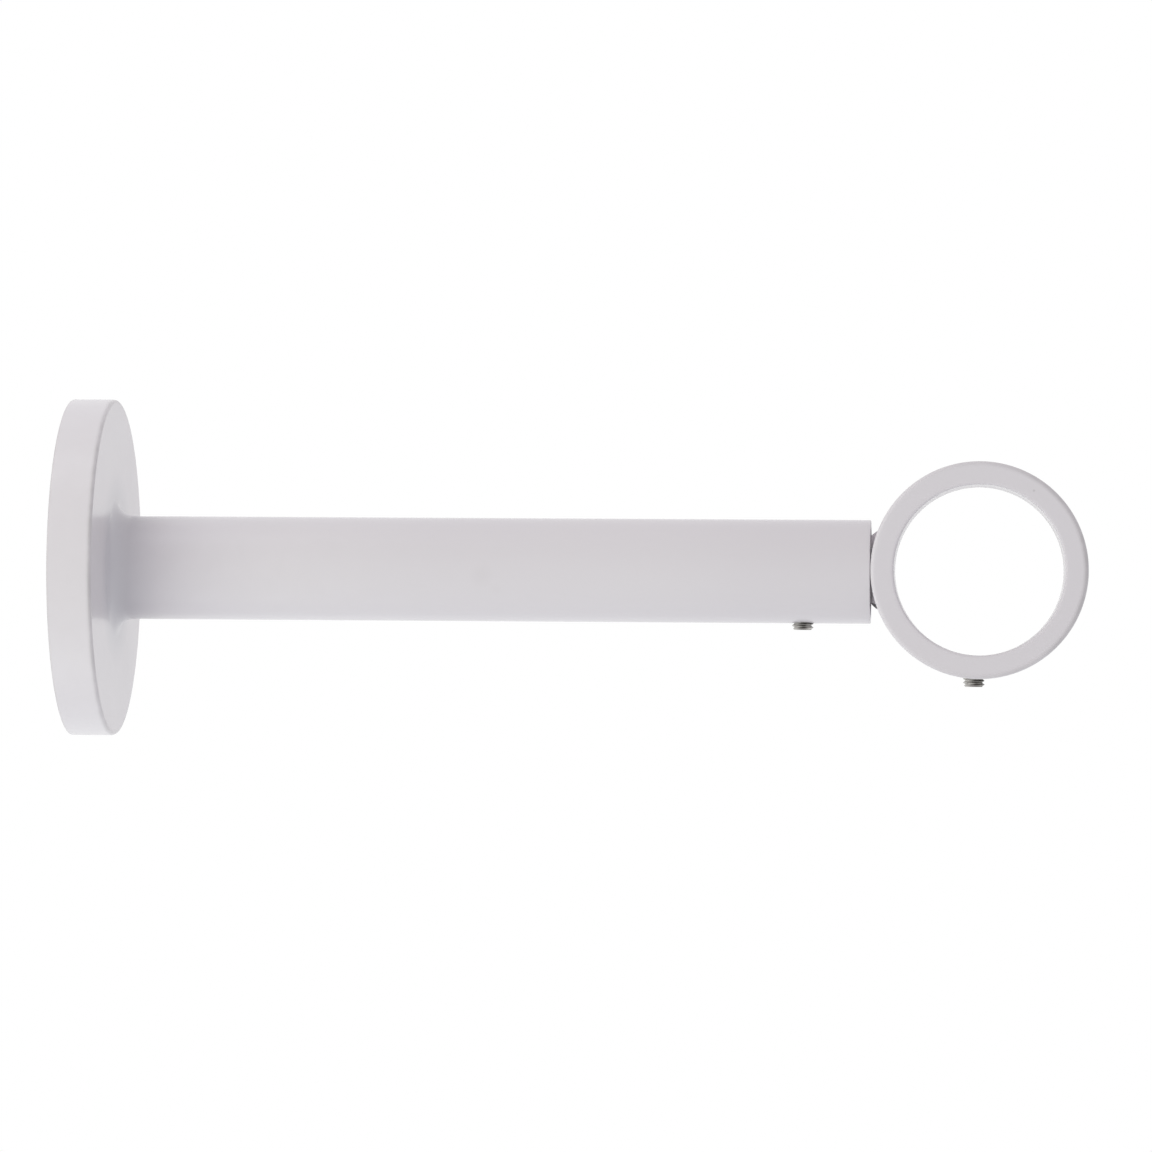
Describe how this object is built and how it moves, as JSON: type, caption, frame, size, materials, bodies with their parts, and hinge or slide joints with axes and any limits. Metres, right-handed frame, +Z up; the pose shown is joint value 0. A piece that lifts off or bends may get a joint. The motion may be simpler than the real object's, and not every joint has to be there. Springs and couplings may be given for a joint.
{
  "type": "curtain pole bracket",
  "caption": "Wall bracket for a curtain pole: round wall rose, straight tubular arm and a closed pole ring on a rod that slides and turns, locked by set screws.",
  "frame": {"origin": "on the wall plane, on the arm's axis, at the middle of the wall plate's back", "axes": "+X along the arm, away from the wall; +Y along the pole; +Z up"},
  "size_m": [0.1867, 0.062, 0.062],
  "materials": {
    "white_coat": "satin white powder coat",
    "plated_steel": "bright zinc plating",
    "glide_plastic": "natural nylon",
    "screw_steel": "plain steel"
  },
  "bodies": {
    "wall_side": {"wall_plate": "plated_steel", "wall_stud": "plated_steel", "rose": "white_coat", "arm_tube": "white_coat", "arm_base_plug": "plated_steel", "socket_bush": "white_coat"},
    "glide": {"rod_glide": "glide_plastic"},
    "head": {"ring_head": "white_coat"},
    "arm_screw": {"arm_set_screw": "screw_steel"},
    "pole_screw": {"pole_set_screw": "screw_steel"}
  },
  "joints": [
    {"name": "projection_slide", "type": "slide", "parent": "wall_side", "child": "glide", "axis": [1, 0, 0], "range_m": [0, 0.0498]},
    {"name": "head_swivel", "type": "hinge", "parent": "glide", "child": "head", "pos_m": [0.1, 0, 0.00033], "axis": [1, 0, 0], "continuous": true},
    {"name": "arm_screw_travel", "type": "slide", "parent": "wall_side", "child": "arm_screw", "axis": [0, 0, 1], "range_m": [-0.0025, 0]},
    {"name": "pole_screw_travel", "type": "slide", "parent": "head", "child": "pole_screw", "axis": [0, 0, 1], "range_m": [-0.0025, 0.0038]}
  ]
}
